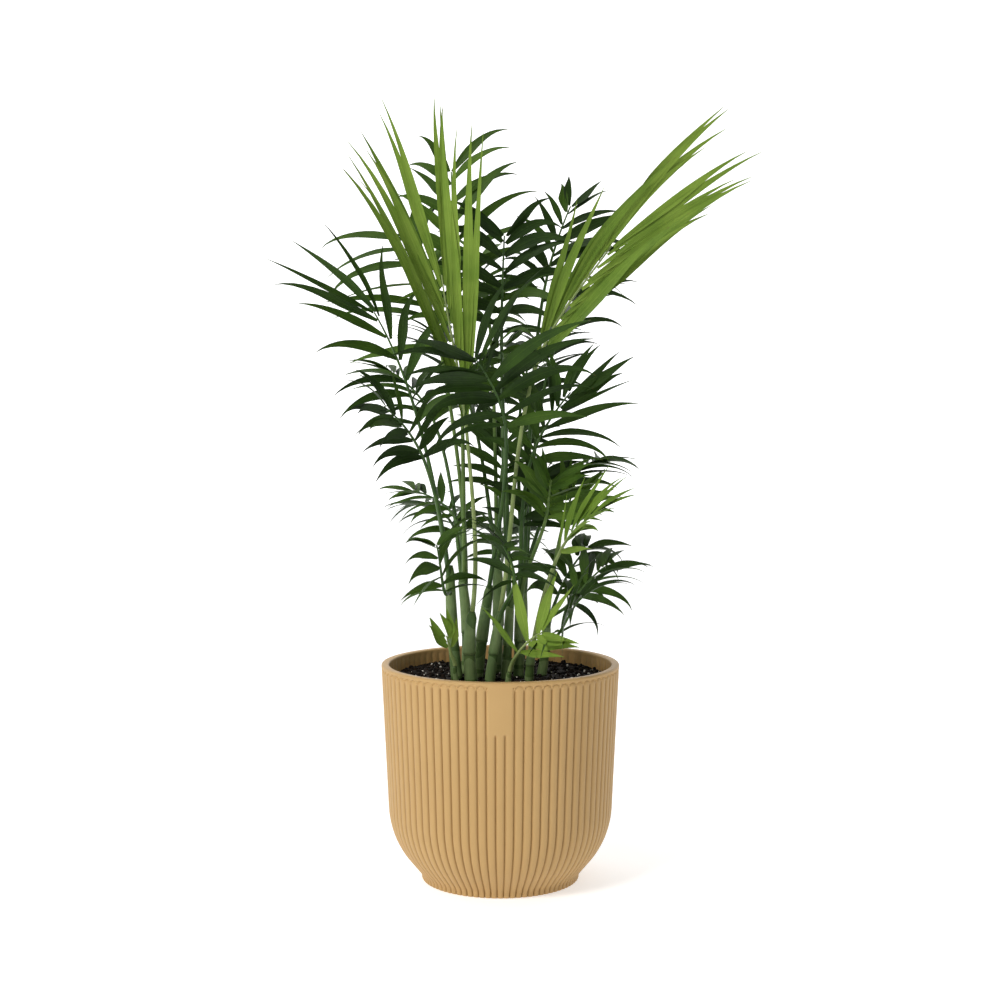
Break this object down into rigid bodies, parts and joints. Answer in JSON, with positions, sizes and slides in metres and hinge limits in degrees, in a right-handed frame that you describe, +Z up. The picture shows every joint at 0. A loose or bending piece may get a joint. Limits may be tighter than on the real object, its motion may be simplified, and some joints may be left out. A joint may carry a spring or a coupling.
{
  "type": "potted parlor palm",
  "caption": "Bushy small palm of arching feathered fronds on slim green canes, in a round plastic pot with fine upright ribs, a smooth rim and a drawn-in foot.",
  "frame": {"origin": "centre of the flat underside of the pot's foot", "axes": "+Z up along the pot's axis; the smooth panel in the ribs and the pictured side face -Y"},
  "size_m": [0.3436, 0.3458, 0.5908],
  "materials": {
    "pot": "satin",
    "soil": "matte",
    "cane": "satin",
    "leaf_deep": "satin",
    "leaf_mid": "satin",
    "leaf_fresh": "satin"
  },
  "bodies": {
    "root": {"pot": "pot", "potting_soil": "soil", "cane_left": "cane", "cane_pale": "cane", "cane_left_inner": "cane", "cane_front": "cane", "cane_middle": "cane", "cane_right_inner": "cane", "cane_right": "cane", "cane_back_left": "cane", "cane_back_middle": "cane", "cane_back_right": "cane", "cane_far_right": "cane", "shoot_left": "cane", "shoot_front": "cane", "spear_left": "leaf_fresh", "spear_right": "leaf_fresh", "frond_top_middle": "leaf_mid", "frond_top_inner": "leaf_deep", "frond_top_right": "leaf_deep", "frond_top_left": "leaf_mid", "frond_left_high": "leaf_deep", "frond_left_front": "leaf_deep", "frond_left_back": "leaf_deep", "frond_left_low": "leaf_deep", "frond_middle_high": "leaf_deep", "frond_middle_inner": "leaf_deep", "frond_middle_low": "leaf_deep", "frond_middle_back": "leaf_deep", "frond_middle_dark": "leaf_deep", "frond_right_high": "leaf_deep", "frond_right_middle": "leaf_mid", "frond_right_bright": "leaf_mid", "frond_right_front": "leaf_fresh", "frond_right_low": "leaf_deep", "frond_right_lower": "leaf_deep", "frond_right_hanging": "leaf_deep", "frond_back_high_left": "leaf_deep", "frond_back_high_right": "leaf_deep", "frond_back_right": "leaf_deep", "frond_back_left": "leaf_deep", "frond_back_low": "leaf_deep", "frond_back_top": "leaf_mid", "frond_back_top_right": "leaf_deep", "frond_back_side": "leaf_deep", "shoot_left_blades": "leaf_fresh", "shoot_front_blades": "leaf_fresh"}
  },
  "joints": []
}
